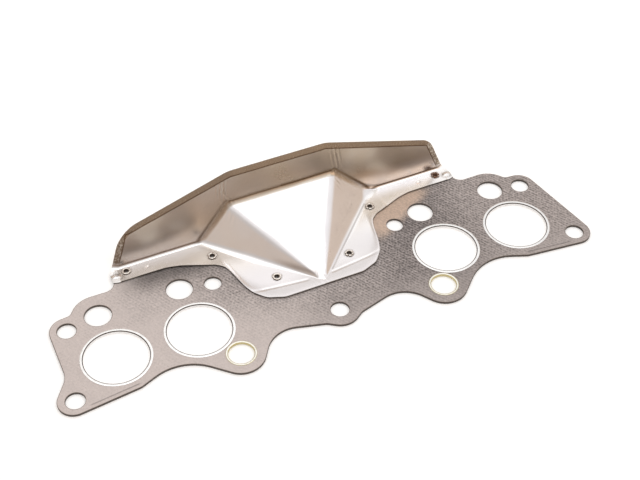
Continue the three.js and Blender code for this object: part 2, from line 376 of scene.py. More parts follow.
def slab(levels, inner, relief=None):
    """A sheet with holes. levels are (inset, z, pressed) from the bottom up.

    Faces are of kind 0 on the flats, 1 on the cut edge and 2 on the rim of a relieved sheet.
    """
    stacks = [loops(inset, pressed) for inset, z, pressed in levels]
    flat = [np.vstack(rings) for rings in stacks]
    size = len(flat[0])
    points, faces, kinds = [], [], []
    for xy, (inset, z, pressed) in zip(flat, levels):
        points.append(np.column_stack((xy, np.full(size, z))))
    for row in range(len(levels) - 1):
        start = 0
        for k, ring in enumerate(stacks[0]):
            n = len(ring)
            for i in range(n):
                a, b = start + i, start + (i + 1) % n
                quad = (row * size + a, row * size + b, (row + 1) * size + b, (row + 1) * size + a)
                faces.append(quad if k == 0 else quad[::-1])
                kinds.append(2 if relief is not None and row > 1 else 1)
            start += n
    for row, sign in ((0, -1), (len(levels) - 1, 1)):
        base = sum(len(p) for p in points)
        z = np.full(len(inner), levels[row][1])
        if sign > 0 and relief is not None:
            z = z + relief(inner[:, 0], inner[:, 1])
        index = list(range(row * size, (row + 1) * size)) + list(range(base, base + len(inner)))
        points.append(np.column_stack((inner, z)))
        for face in cap(stacks[row], inner):
            face = [index[v] for v in face]
            faces.append(face if sign > 0 else face[::-1])
            kinds.append(0)
    return np.vstack(points), faces, kinds


def solid(name, points, faces, finishes, kinds=None, sharp=35):
    """A piece from points in millimetres, riding on the one body."""
    mesh = bpy.data.meshes.new(name)
    mesh.from_pydata((np.asarray(points) * 0.001).tolist(), [], [list(f) for f in faces])
    for finish in finishes:
        mesh.materials.append(finish.owner)
    if kinds is not None:
        mesh.polygons.foreach_set("material_index", kinds)
    mesh.polygons.foreach_set("use_smooth", [True] * len(mesh.polygons))
    mesh.set_sharp_from_angle(angle=math.radians(sharp))
    made = bpy.data.objects.new(name, mesh)
    scene.collection.objects.link(made)
    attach(made, "root")
    return made


def hollow(distance, width):
    """1 at the middle of a dent, falling away smoothly."""
    return np.exp(-(distance / width) ** 2)


def off_segment(x, y, a, b):
    """Distance from the segment a to b."""
    dx, dy = b[0] - a[0], b[1] - a[1]
    t = np.clip(((x - a[0]) * dx + (y - a[1]) * dy) / (dx * dx + dy * dy), 0, 1)
    return np.hypot(x - a[0] - t * dx, y - a[1] - t * dy)


GROOVE, GROOVE_SLOPE = ((150.5, -25.7), (121.5, -22.6)), 0.107


def facing_relief(x, y):
    """How the soft facing is dented: a groove by each corner lug and a ring round each eyelet."""
    ax = np.abs(x)
    z = 0.03 * np.sin(0.11 * x + 0.07 * y) * np.sin(0.13 * y - 0.05 * x)
    z -= 0.16 * hollow(off_segment(ax, y, *GROOVE), 0.45)
    z -= 0.10 * hollow(np.hypot(ax - LINED[0], y - LINED[1]) - 9.9, 0.35)
    for port in PORTS[2:]:
        z += 0.05 * hollow(np.hypot(ax - port, y) - 21.4, 0.7)
    return z


def on_plate(points):
    """The points that are on the plate, outside its holes and clear of every edge."""
    lines = loops(0)
    keep = within(points, lines[0])
    for ring in lines[1:]:
        keep &= ~within(points, ring)
    points = points[keep]
    for ring in lines:
        points = points[clear_of(points, ring, 0.8)]
    return points


def grid_points(port_r=0, lined_r=0, rivet_r=0):
    """Even points over the plate, outside the given radii."""
    gx, gy = np.meshgrid(np.arange(-168, 168.1, 2.2), np.arange(-42, 62, 2.2))
    points = np.column_stack((gx.ravel(), gy.ravel()))
    rounds = [(x, 0, port_r) for x in PORTS]
    for s in (-1, 1):
        rounds.append((s * LINED[0], LINED[1], lined_r))
        rounds += [(s * x, y, rivet_r) for x, y in RIVETS]
    for x, y, r in rounds:
        points = points[np.hypot(points[:, 0] - x, points[:, 1] - y) > r]
    return on_plate(points)


def facing_points():
    """Even points, with closer ones along the grooves and round the rings."""
    points = [grid_points()]
    a, b = np.array(GROOVE[0]), np.array(GROOVE[1])
    along = (b - a) / np.linalg.norm(b - a)
    across = np.array((-along[1], along[0]))
    for t in np.arange(-0.8, np.linalg.norm(b - a) + 0.9, 0.6):
        for offset in (-0.9, -0.45, 0, 0.45, 0.9):
            p = a + t * along + offset * across
            points.append(np.array([p, (-p[0], p[1])]))
    for s in (-1, 1):
        for r in (9.3, 9.6, 9.9, 10.2, 10.6):
            points.append(ring_points(s * LINED[0], LINED[1], r, 60))
    for x in PORTS:
        for r in (20.7, 21.1, 21.6, 22.2):
            points.append(ring_points(x, 0, r, 110))
    return on_plate(np.vstack(points))


# The grey of the facing: lighter towards the left front corner, a painted sheen, where its marks
# also fade; tan by the right end of the shield, a painted reflection of its warm wall; darker
# under the left end, a painted dark reflection; and a groove that each corner lug scores, painted
# darker.
graphite = Finish(bpy.data.materials.new("graphite_facing"))
at = graphite.millimetres()
x, y, z = graphite.axes(at)
# Painted sheen: the facing is painted lighter towards the left front corner, the right end and the
# front.
drift = graphite.noise(at, 60, 2) - 0.5
across_plate = (x + 0.9 * y) / 150 + 1.1 * drift
darker = graphite.rise(across_plate, -0.75, 0.62) * (1 - 0.36 * graphite.rise(x, 72, 118))
darker = darker * (0.7 + 0.3 * graphite.rise(y, -34, -8))
grey = graphite.blend(darker, FACING_SHEEN_GREY, FACING_DARK)
# Painted reflection: a tan patch by the right end of the shield stands for its warm wall.
beside = 0.866 * (y - 30) - 0.5 * (x - 47)
along = 0.866 * (x - 47) + 0.5 * (y - 30)
tan = graphite.rise(abs(beside - 2), 13, 5) * graphite.rise(abs(along - 22), 32, 18)
grey = graphite.blend(tan * 0.85, grey, FACING_TAN_REFLECTION)
fine = graphite.noise(at, 0.55, 3, 0.7)
grain = graphite.noise(at, 1.3, 3, 0.65)
cloud = graphite.noise(at, 6, 4, 0.6)
warp = graphite.noise(at, 3.4, 3) - 0.5
row = (y + 2.6 * warp) / ROW_PITCH
shift = (row - (row % 1)) * 0.5
u = (((x - 2.2 * warp) / MARK_PITCH + shift) % 1 - 0.5) * MARK_PITCH
v = ((row % 1) - 0.5) * ROW_PITCH
along = (0.5 * u - 0.87 * v) / 1.7
across = 0.87 * u + 0.5 * v
spot = (along * along + across * across) ** 0.5 + 1.3 * (grain - 0.5)
mark = graphite.rise(spot, 0.55, 0.22)
raised = graphite.rise(spot, 0.6, 0.8)
patch = graphite.rise(graphite.noise(at, 11, 2) + 0.4 * darker, 0.35, 0.62)
rough = darker * (1 - 0.8 * tan) * (0.35 + 0.65 * graphite.rise(y, -32, 2))
mark = mark * (0.12 + 0.88 * rough) * patch * (1 - 0.8 * tan)
# Painted shade along the groove by each corner lug.
groove_y = GROOVE[0][1] + GROOVE_SLOPE * (GROOVE[0][0] - abs(x))
groove_shade = graphite.rise(abs(y - groove_y), 0.6, 0.2)
groove_shade = groove_shade * graphite.rise(abs(abs(x) - (GROOVE[0][0] + GROOVE[1][0]) / 2), 15.5, 13)
# Painted dark reflection below the left end of the shield.
dark_reflection = graphite.rise(y, 34, 50) * graphite.rise(abs(x + 78), 36, 14)
turned = graphite.node("VectorRotate", {"rotation_type": "Z_AXIS"}, {"Vector": at, "Angle": 1.05})
strokes = graphite.noise(graphite.stretched(turned, (0.4, 1, 1)), 0.9, 3, 0.6) - 0.5
shade = 1 + 0.2 * (cloud - 0.5) + (0.3 + 1.4 * rough) * (grain - 0.5) + 0.3 * (fine - 0.5)
shade = shade + (0.15 + 2.0 * rough) * strokes
shade = shade * (1 - 0.55 * mark) * (1 + 0.2 * raised * rough)
shade = shade * (1 - 0.6 * dark_reflection) * (1 - 0.4 * groove_shade)
height = (fine * 0.35 + grain * 0.5) * (1 - 0.5 * tan) - mark
graphite.surface(
    Base_Color=graphite.tint(grey, shade),
    Roughness=0.42 + 0.2 * cloud - 0.12 * darker,
    Metallic=0.25,
    Specular_IOR_Level=0.5,
    Normal=graphite.bump(height, 0.13, 0.9),
)

cut_graphite = Finish(bpy.data.materials.new("facing_cut_edge"))
at = cut_graphite.millimetres()
grain = cut_graphite.noise(at, 0.4, 3, 0.7)
cut_graphite.surface(
    Base_Color=cut_graphite.tint(CUT_COLOUR, 0.6 + 0.8 * grain),
    Roughness=0.5,
    Metallic=0.3,
    Normal=cut_graphite.bump(grain, 0.06, 0.7),
)

dark_rim = Finish(bpy.data.materials.new("facing_rim"))
at = dark_rim.millimetres()
grain = dark_rim.noise(at, 0.8, 3, 0.7)
dark_rim.surface(
    Base_Color=dark_rim.tint(RIM_COLOUR, 0.6 + 0.8 * grain),
    Roughness=0.3 + 0.2 * grain,
    Metallic=0.5,
    Normal=dark_rim.bump(grain, 0.03, 0.5),
)

core_steel = Finish(bpy.data.materials.new("core_steel"))
at = core_steel.millimetres()
streak = core_steel.noise(core_steel.stretched(at, (1, 1, 0.15)), 0.25, 2)
core_steel.surface(
    Base_Color=core_steel.tint(CORE_COLOUR, 0.6 + 0.8 * streak),
    Roughness=0.35 + 0.25 * streak,
    Metallic=0.8,
    Normal=core_steel.bump(streak, 0.03, 0.6),
)

levels = [(0.03, 0, 1), (0, 0.03, 1), (0, PRESSED_IN, 1), (0, PRESSED_IN, 0), (0, FACING, 0)]
points, faces, kinds = slab(levels, grid_points(20.9, 9.3, 2.7))
rear = solid("rear_facing", points, faces, [graphite, cut_graphite], kinds)
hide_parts("facing_rear")

no_points = np.empty((0, 2))
points, faces, kinds = slab([(0.08, FACING, 0), (0.08, FACING + CORE, 0)], no_points)
core = solid("steel_core", points, faces, [core_steel] * 2, kinds)
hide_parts("gasket_core")

levels = [(0, FACING + CORE, 0), (0, STACK - EDGE_ROUND, 0)]
levels += [(EDGE_ROUND * 0.3, STACK - EDGE_ROUND * 0.3, 0), (EDGE_ROUND, STACK, 0)]
levels += [(RIM, STACK, 0)]
points, faces, kinds = slab(levels, facing_points(), facing_relief)
front = solid("front_facing", points, faces, [graphite, cut_graphite, dark_rim], kinds)
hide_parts("facing_front")


# ---- Fire rings ----
# Thin bright stainless strip folded round the edge of each port, with a lap on both faces. The
# folded inner edge is round, and the lap shows faint crimps from the folding.

RING_LAP = 1.9
RING_COLOUR = (0.86, 0.855, 0.85, 1)
# The fold's dark colour is painted shade.
RING_FOLD_SHADE = (0.10, 0.082, 0.07, 1)

bright_ring = Finish(bpy.data.materials.new("ring_steel"))
at = bright_ring.millimetres()
x, y, z = bright_ring.axes(at)
pair_middle = (PORTS[2] + PORTS[3]) / 2
off_centre = abs(abs(x) - pair_middle) - (PORTS[3] - pair_middle)
out = (off_centre * off_centre + y * y) ** 0.5
haze = bright_ring.noise(at, 1.2, 3)
wide = bright_ring.noise(at, 14, 2)
# Painted shade: the folded inner edge of each ring is painted dark.
fold = bright_ring.rise(out + 0.2 * (haze - 0.5), PORT_R + 0.65, PORT_R + 0.35)
fold = fold * bright_ring.rise(z, 1.0, 1.3)
lap = bright_ring.tint(RING_COLOUR, 0.93 + 0.12 * wide)
bright_ring.surface(
    Base_Color=bright_ring.blend(fold, lap, RING_FOLD_SHADE),
    Roughness=0.2 + 0.12 * haze,
    Metallic=1.0,
    Normal=bright_ring.bump(haze, 0.03, 0.5),
)


def lathe(profile, x, y, sides, wobble=None):
    """Turns (radius, z) points round an upright line. wobble moves them, given the angle."""
    a = np.arange(sides) * 2 * math.pi / sides
    points, faces = [], []
    for r, z in profile:
        rr, zz = np.full(sides, float(r)), np.full(sides, float(z))
        if wobble is not None:
            rr, zz = wobble(rr, zz, a)
        points.append(np.column_stack((x + rr * np.cos(a), y + rr * np.sin(a), zz)))
    n = len(profile)
    for k in range(n):
        for i in range(sides):
            j = (i + 1) % sides
            faces.append((k * sides + i, k * sides + j,
                          ((k + 1) % n) * sides + j, ((k + 1) % n) * sides + i))
    return np.vstack(points), faces


def fold_profile(r, lap, top=STACK + 0.2):
    """Section of a folded ring, anticlockwise seen with the radius to the right."""
    edge = r + lap
    return [
        (r + 0.12, 0.02), (r + 0.3, 0), (edge - 0.05, 0), (edge, 0.05), (edge, PRESSED_IN),
        (r + 0.3, PRESSED_IN), (r + 0.3, STACK), (edge, STACK), (edge + 0.02, top - 0.08),
        (edge - 0.06, top - 0.01), (edge - 0.25, top + 0.01), (r + lap / 2, top + 0.02),
        (r + 0.5, top), (r + 0.25, top - 0.04), (r + 0.08, top - 0.14), (r, top - 0.32),
        (r, 0.3), (r + 0.03, 0.12),
    ]


for number, port in enumerate(PORTS, 1):
    def crimp(rr, zz, a, phase=number * 1.7):
        lift = 0.018 * np.sin(23 * a + phase) * np.sin(3 * a + 2 * phase)
        on_lap = (zz > STACK + 0.1) & (rr > PORT_R + 0.2)
        return rr + 0.03 * np.sin(5 * a + phase) * on_lap, zz + lift * on_lap

    points, faces = lathe(fold_profile(PORT_R, RING_LAP), port, 0, 192, crimp)
    ring = solid(f"fire_ring_{number}_strip", points, faces, [bright_ring], sharp=50)
    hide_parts(f"fire_ring_{number}")


# ---- Eyelet rings ----
# The same folded strip, smaller and zinc plated with a yellow tint, lines the hole in each lower
# lobe. The yellow shows most along the folded edge and along the rim of the lap.

EYELET_LAP = 1.4
ZINC_PALE = (0.80, 0.79, 0.74, 1)
ZINC_YELLOW = (0.56, 0.49, 0.27, 1)

zinc = Finish(bpy.data.materials.new("yellow_zinc"))
at = zinc.millimetres()
x, y, z = zinc.axes(at)
out = ((abs(x) - LINED[0]) ** 2 + (y - LINED[1]) ** 2) ** 0.5
lap_rim = LINED_R + EYELET_LAP
edges = zinc.rise(out, LINED_R + 0.45, LINED_R + 0.15)
edges = edges.larger(zinc.rise(out, lap_rim - 0.3, lap_rim - 0.08))
haze = zinc.noise(at, 1.5, 3)
yellow = (edges + 0.35 * zinc.rise(haze, 0.45, 0.7)).smaller(1)
zinc.surface(
    Base_Color=zinc.blend(yellow, ZINC_PALE, ZINC_YELLOW),
    Roughness=0.24 + 0.15 * haze,
    Metallic=1.0,
    Normal=zinc.bump(haze, 0.03, 0.5),
)
for s, label in ((-1, "left"), (1, "right")):
    profile = fold_profile(LINED_R, EYELET_LAP)
    points, faces = lathe(profile, s * LINED[0], LINED[1], 120)
    lining = solid(f"eyelet_{label}_strip", points, faces, [zinc], sharp=50)
    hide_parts(f"eyelet_ring_{label}")


# ---- Heat shield ----
# One sheet of bright steel folded on a press: a flange on the plate, a raised wedge of a front
# panel and two side facets, and an upright wall with sloping wings and a lip bent back round it.

SHEET = 0.5
APEX_Y, WALL_Y = 6.3, 63.5
NOSE_X = {"left": 0.0, "right": 2.2}
BASE_X = {"left": -55.5, "right": 58.4}
CREST_X, CREST_H = 35.0, 21.5
LEAN = math.radians(10)
TOP_H, TOP_HALF, WING_SLOPE = 43.0, 31.6, math.radians(15.5)
SIDE_X, SIDE_LEAN = {"left": 110.6, "right": 111.6}, math.radians(21.3)
CORNER_ROUND = {"left": 8.5, "right": 4.0}
FLANGE_END = 112.5
BEAD, BEAD_REACH, BEAD_H = (110, 56.4), (4, 2.6), 0.9
WALL_BEND, FOOT_BEND, RIDGE_BEND = 2.0, 2.4, 2.0
NOSE_REACH = 28
BASE_BEND, BASE_REACH = 4.5, (12, 9)
LIP_WIDTH, LIP_SLOPE = 4.0, math.tan(math.radians(24))
SHIELD_COLOUR = (0.82, 0.79, 0.775, 1)
SHIELD_BLUSH = (0.79, 0.765, 0.79, 1)
# A painted highlight on the flange.
FLANGE_HIGHLIGHT = (0.98, 0.965, 0.96, 1)
# Partly filmed steel and partly a painted reflection of the plate.
WALL_FILM_AND_REFLECTION = (0.46, 0.375, 0.28, 1)
# A painted shade on the lip.
LIP_SHADE = (0.36, 0.315, 0.265, 1)
# Brown stain, also used for painted shade.
STAIN_AND_SHADE = (0.15, 0.095, 0.055, 1)
# Partly the painted shadow of the gap under the flange's edge.
SHEARED_EDGE_AND_SHADOW = (0.03, 0.025, 0.021, 1)

FLANGE_EDGE = [
    (0, 2), (12, 2), (25, 2), (35, 5.8), (41, 12.6), (44.3, 21), (45.8, 30), (48, 38),
    (53, 42.4), (60, 45), (72, 49.8), (80, 51.6), (95, 51.9), (110, 51.9), (FLANGE_END, 53),
]


def soft_min(a, b, k):
    """The smaller of two, blended where they differ by less than k."""
    t = np.maximum(k - np.abs(a - b), 0) / k
    return np.minimum(a, b) - t * t * k / 4


def round_min(a, b, r):
    """The smaller of two distances, with a round corner of radius r between them."""
    return np.maximum(r, np.minimum(a, b)) - np.hypot(np.maximum(r - a, 0), np.maximum(r - b, 0))


def plane_through(a, b, c):
    """The upward unit normal of a plane, and its offset."""
    n = np.cross(np.subtract(b, a), np.subtract(c, a))
    n = n / np.linalg.norm(n) * np.sign(n[2])
    return n, -n @ np.array(a)


crest = (CREST_X, WALL_Y + CREST_H * math.tan(LEAN), CREST_H)
crest_left = (-CREST_X, crest[1], CREST_H)
PLANES = [
    plane_through((NOSE_X["left"], APEX_Y, 0), crest, crest_left),
    plane_through((NOSE_X["left"], APEX_Y, 0), (BASE_X["left"], WALL_Y, 0), crest_left),
    plane_through((NOSE_X["right"], APEX_Y, 0), (BASE_X["right"], WALL_Y, 0), crest),
]


def wall_foot_x(x):
    """How far from the middle the wall reaches at its foot, on the side x is on."""
    return np.where(x < 0, SIDE_X["left"], SIDE_X["right"])


def inside_wall(x, h):
    """Distance inside the wall's outline, measured in the wall."""
    ax = np.abs(x)
    top = TOP_H - h
    wing = top * math.cos(WING_SLOPE) - (ax - TOP_HALF) * math.sin(WING_SLOPE)
    side = (wall_foot_x(x) - ax) * math.cos(SIDE_LEAN) - h * math.sin(SIDE_LEAN)
    corner = np.where(x < 0, CORNER_ROUND["left"], CORNER_ROUND["right"])
    return round_min(soft_min(top, wing, 1), side, corner)


def mound(t):
    """A smooth bump, 1 where t is 0 and flat from t = 1 on."""
    return np.where(t < 1, (1 - t * t) ** 2, 0)


def off_bead(x, y):
    """0 at the middle of an end bead and 1 on its rim."""
    return np.hypot((np.abs(x) - BEAD[0]) / BEAD_REACH[0], (y - BEAD[1]) / BEAD_REACH[1])


def shield_field(x, y, h):
    """Zero on the front face of the sheet, positive in front of it.

    The bends are tight at the nose and wide at the right-hand foot of the wedge.
    """
    panel, left, right = (n[0] * x + n[1] * y + n[2] * h + d for n, d in PLANES)
    tight = np.clip((y - APEX_Y) / NOSE_REACH, 0.2, 1)
    roof = -soft_min(-panel, -np.maximum(left, right), RIDGE_BEND * tight)
    bead = BEAD_H * mound(off_bead(x, y))
    off_base = np.hypot((x - BASE_X["right"]) / BASE_REACH[0], (y - WALL_Y) / BASE_REACH[1])
    bend = FOOT_BEND * tight + BASE_BEND * mound(off_base)
    foot = soft_min(h - bead, roof, bend)
    lip = LIP_SLOPE * np.maximum(LIP_WIDTH - inside_wall(x, h), 0)
    wall = (WALL_Y + h * math.tan(LEAN) - y) * math.cos(LEAN) + lip
    return round_min(foot, wall, WALL_BEND)


def smooth_line(knots, x):
    """A curve through the knots, with rounded corners, read off at x."""
    k = np.array(knots, float)
    fine = np.linspace(k[0, 0], k[-1, 0], 900)
    y = np.interp(fine, k[:, 0], k[:, 1])
    window = np.hanning(43)
    y = np.convolve(np.pad(y, 21, "edge"), window / window.sum(), "valid")
    return np.interp(x, fine, y)


def section_end(x):
    """Height on the wall where the section at x ends, and its y."""
    low, high = np.zeros_like(x), np.full_like(x, TOP_H)
    for _ in range(40):
        h = (low + high) / 2
        inside = inside_wall(x, h) > 0
        low, high = np.where(inside, h, low), np.where(inside, high, h)
    beyond = inside_wall(x, np.zeros_like(x)) <= 0
    flange_y = WALL_Y - 0.5 - 1.6 * (np.abs(x) - wall_foot_x(x))
    y = np.where(beyond, flange_y, WALL_Y + low * math.tan(LEAN))
    return y, np.where(beyond, 0, low)


# Every section of the shield is seen whole from this point in front of it.
EYE_Y, EYE_H = 25.0, 80.0


def on_shield(x, angle):
    """Where a ray from the eye point of each section meets the front face."""
    dy, dh = np.sin(angle), -np.cos(angle)
    near, far = np.zeros_like(x), np.full_like(x, 160.0)
    for _ in range(38):
        d = (near + far) / 2
        front_side = shield_field(x, EYE_Y + d * dy, EYE_H + d * dh) > 0
        near, far = np.where(front_side, d, near), np.where(front_side, far, d)
    return np.stack((x, EYE_Y + near * dy, EYE_H + near * dh), axis=-1)


def facing_of(p):
    """Unit normals on the front face."""
    e = 0.02
    grad = []
    for k in range(3):
        step = np.zeros(3)
        step[k] = e
        a, b = p + step, p - step
        grad.append(shield_field(a[..., 0], a[..., 1], a[..., 2])
                    - shield_field(b[..., 0], b[..., 1], b[..., 2]))
    n = np.stack(grad, axis=-1)
    return n / np.linalg.norm(n, axis=-1, keepdims=True)


def around(p, centre, size):
    """1 at a centre, falling away smoothly over a size given for each axis."""
    return np.exp(-(((p - np.array(centre)) / np.array(size)) ** 2).sum(axis=-1))


# Wrinkles by the upper corners of the wedge, as waves over a patch of the sheet:
# (how fast along x, y and h, turn, centre, size, height on the left, height on the right).
WRINKLES = [
    ((2.6, 0, 0.25), 0.8, (37, 69, 31), (3.2, 9, 6), 0.3, 0.2),
    ((2.3, 0, -1.4), 0, (35.5, 67, 22), (4, 5, 3.5), 0.14, 0.14),
    ((1.7, 1.5, 0), 0, (38.5, 60, 18), (5, 6, 4), 0.12, 0.12),
]
DIMPLE, DIMPLE_R = (90, 57), 0.9487
PRESS_LINE = ((8, 9.4), (41, 13.2))


def handling(p):
    """Dents and ripples left by pressing and handling, along the sheet's normal.

    The flange's free edge springs up a little between the rivets.
    """
    x, y, h = p[..., 0], p[..., 1], p[..., 2]
    rng = np.random.default_rng(11)
    lift = np.zeros_like(x)
    for _ in range(10):
        kx, ky, kh = rng.normal(0, 1, 3) * (2 * math.pi / 34)
        lift += 0.022 * np.sin(kx * x + ky * y + kh * h + rng.uniform(0, 6.3))
    lift *= np.clip(h / 3, 0.15, 1)
    lift -= 0.4 * hollow(np.hypot(np.abs(x) - DIMPLE[0], y - DIMPLE[1]), DIMPLE_R) * (h < 3)
    for side in (1, -1):
        q = p * np.array([side, 1, 1])
        for fast, turn, centre, size, left, right in WRINKLES:
            wave = np.sin(q @ np.array(fast) + turn * side)
            lift += (right if side > 0 else left) * wave * around(q, centre, size)
        pressed = hollow(off_segment(q[..., 0], y, *PRESS_LINE), 0.7)
        lift -= 0.16 * pressed * (h < 1.2) * (q[..., 0] > 0)
    lift += 0.14 * np.sin(2.2 * x + 0.6 * y) * around(p, (0, 7.5, 0), (5, 3.5, 2.5))
    edge = y - smooth_line(FLANGE_EDGE, np.abs(x))
    held = np.ones_like(x)
    for rx, ry in RIVETS:
        held *= 1 - np.exp(-((np.abs(x) - rx) ** 2 + (y - ry) ** 2) / 60)
    sprung = np.where(x > 62, 0.3, 0.6)
    lift += sprung * held * hollow(edge, 7) * (np.abs(x) < 108) * (h < 3)
    return lift


def shield_mesh():
    """Both skins and the rim of the sheet, with rows closer together where it bends."""
    step = 0.8
    rows = 230
    half = np.concatenate((
        np.arange(step / 2, 106, step), np.linspace(106.4, FLANGE_END, 18)))
    columns = np.concatenate((-half[::-1], half))
    ax = np.abs(columns)
    end_y, end_h = section_end(columns)
    start = np.arctan2(smooth_line(FLANGE_EDGE, ax) - EYE_Y, EYE_H)
    end = np.arctan2(end_y - EYE_Y, EYE_H - end_h)
    fine = np.linspace(0, 1, 500)
    angles = start[:, None] + (end - start)[:, None] * fine
    trial = on_shield(np.repeat(columns[:, None], len(fine), 1), angles)
    steps = np.diff(trial, axis=1)
    length = np.linalg.norm(steps, axis=2)
    unit = steps / length[..., None]
    turn = np.arccos(np.clip((unit[:, 1:] * unit[:, :-1]).sum(axis=2), -1, 1))
    weight = length + 22 * np.pad(turn, ((0, 0), (0, 1)))
    total = np.pad(np.cumsum(weight, axis=1), ((0, 0), (1, 0)))
    chosen = np.array([
        np.interp(np.linspace(0, t[-1], rows + 1), t, a) for t, a in zip(total, angles)])
    skin = on_shield(np.repeat(columns[:, None], rows + 1, 1), chosen)
    normal = facing_of(skin)
    skin = skin + handling(skin)[..., None] * normal
    under = skin - SHEET * normal
    lift = np.array((0, 0, STACK + SHEET))
    points = np.vstack((skin.reshape(-1, 3), under.reshape(-1, 3))) + lift

    n, m = skin.shape[:2]
    index = np.arange(n * m).reshape(n, m)
    a, b, c, d = index[:-1, :-1], index[1:, :-1], index[1:, 1:], index[:-1, 1:]
    upper = np.stack((a, b, c, d), axis=-1).reshape(-1, 4)
    centre = points[upper].mean(axis=1)
    open_hole = np.zeros(len(upper), bool)
    for rx, ry in RIVETS:
        away = np.hypot(np.abs(centre[:, 0]) - rx, centre[:, 1] - ry)
        open_hole |= (away < 1.7) & (centre[:, 2] < STACK + 2)
    upper = upper[~open_hole]
    lower = upper[:, ::-1] + n * m
    loop = np.concatenate((index[:-1, 0], index[-1, :-1], index[:0:-1, -1], index[0, :0:-1]))
    after = np.roll(loop, -1)
    rim = np.stack((after, loop, loop + n * m, after + n * m), axis=-1)
    kinds = [0] * (2 * len(upper)) + [1] * len(rim)
    return points, np.vstack((upper, lower, rim)).tolist(), kinds, painted_shade(skin)


def painted_shade(p):
    """How much painted shade the front skin gets: in the folds, round the rivets and beads, along
    cut edges.
    """
    x, y, h = p[..., 0], p[..., 1], p[..., 2]
    panel, left, right = (n[0] * x + n[1] * y + n[2] * h + d for n, d in PLANES)
    above = np.minimum(h, np.maximum(panel, np.maximum(left, right)))
    off_wall = (WALL_Y + h * math.tan(LEAN) - y) * math.cos(LEAN)
    wall_foot = hollow(above - 1.35, 0.65) * (off_wall < 1.3)
    wall_foot *= np.where(x > 0, 0.95, 0.75) * np.clip((111 - np.abs(x)) / 6, 0, 1)
    cut_edge = hollow(y - smooth_line(FLANGE_EDGE, np.abs(x)), 0.3) * (h < 2)
    cut_edge *= np.where(x > 0, 0.95, 0.6)
    inside_left = 0.718 * x + 0.696 * (y - APEX_Y)
    left_foot = 0.5 * hollow(inside_left - 1.6, 1.1) * np.clip((22 + x) / 10, 0, 1) * (x < -1)
    right_foot = 0.45 * hollow(off_segment(x, y, (9, 11.6), (50, 53.3)), 0.5) * (h < 1.2)
    bead = 0.45 * hollow(off_bead(x, y) - 0.85, 0.3) + 0.15 * (off_bead(x, y) < 0.8)
    shade_mask = np.maximum.reduce([wall_foot, cut_edge, left_foot, right_foot, bead])
    for rx, ry in RIVETS:
        off_rivet = np.hypot(np.abs(x) - rx, y - ry)
        shade_mask = np.maximum(shade_mask, 0.6 * hollow(off_rivet - 3.0, 0.28) * (h < 1))
    return shade_mask.ravel()


# The sheet is bright, with a painted highlight on the flange towards the wall. The wall is warm
# brown, partly filmed steel and partly a painted reflection of the plate, and it turns to a
# painted highlight towards its foot. The lip is darker, a painted shade, with brown specks at its
# ends.
bright_sheet = Finish(bpy.data.materials.new("bright_sheet"))
at = bright_sheet.millimetres()
x, y, z = bright_sheet.axes(at)
ax = abs(x)
top = TOP_H + STACK + SHEET - z
wing = top * math.cos(WING_SLOPE) - (ax - TOP_HALF) * math.sin(WING_SLOPE)
foot_x = bright_sheet.rise(x, -1, 1) * (SIDE_X["right"] - SIDE_X["left"]) + SIDE_X["left"]
flank = (foot_x - ax) * math.cos(SIDE_LEAN) - (z - STACK - SHEET) * math.sin(SIDE_LEAN)
inside = top.smaller(wing).smaller(flank)
wall_line = y - z * math.tan(LEAN)
on_wall = bright_sheet.rise(wall_line, 60.4, 61.8) * bright_sheet.rise(z, 3, 6)
lip_part = bright_sheet.rise(inside, 4.2, 3.9) * on_wall
# Painted shade along the fold between the wall and its lip.
crease = bright_sheet.rise(abs(inside - 4.1), 0.5, 0.2) * on_wall
cloud = bright_sheet.noise(at, 22, 3)
blush = bright_sheet.noise(at, 38, 2)
fine = bright_sheet.noise(at, 1.4, 3, 0.6)
roll = bright_sheet.noise(bright_sheet.stretched(at, (0.08, 1, 1)), 0.35, 2)
blot = bright_sheet.noise(at, 1.3, 4, 0.7)
corner = bright_sheet.rise(ax, 70, 108)
stained = bright_sheet.rise(blot + 0.2 * corner, 0.62, 0.74) * lip_part
steel = bright_sheet.blend(blush, SHIELD_COLOUR, SHIELD_BLUSH)
# Painted highlight: the flange towards the wall is painted near white.
flange_highlight = bright_sheet.rise(z, 3.4, 2.4) * bright_sheet.rise(y, 20, 45)
steel = bright_sheet.blend(flange_highlight, steel, FLANGE_HIGHLIGHT)
# Painted highlight: towards the wall's foot, most on the right, the warm tint gives way to bright
# steel.
low = bright_sheet.rise(z, 16, 5) * (0.55 + 0.35 * bright_sheet.rise(x, 20, 60))
low = low * bright_sheet.rise(wall_line, 63.52, 63.38)
# The wall's warm tint is partly filmed steel and partly a painted reflection of the plate.
film_and_reflection = (0.72 + 0.13 * bright_sheet.rise(x, -70, 0) + 0.4 * (cloud - 0.5)) * (1 - low)
steel = bright_sheet.blend(on_wall * film_and_reflection, steel, WALL_FILM_AND_REFLECTION)
# Painted shade: the lip is painted darker.
steel = bright_sheet.blend(lip_part * 0.5, steel, LIP_SHADE)
# Painted shade in the folds and round the rivets, beads and cut edges, read from the mesh.
shade_mask = bright_sheet.node("Attribute", {"attribute_name": "painted_shade"}, {}, "Fac")
fleck = bright_sheet.rise(blot, 0.76, 0.8) * bright_sheet.rise(z, 3.5, 6) * 0.5
beside = 0.7 * (y - APEX_Y) - 0.714 * (x - NOSE_X["right"])
scuffed = bright_sheet.rise(abs(beside - 5.5), 3.5, 1) * bright_sheet.rise(abs(x - 34), 17, 9)
fleck = fleck.larger(bright_sheet.rise(blot, 0.55, 0.66) * scuffed * 0.4)
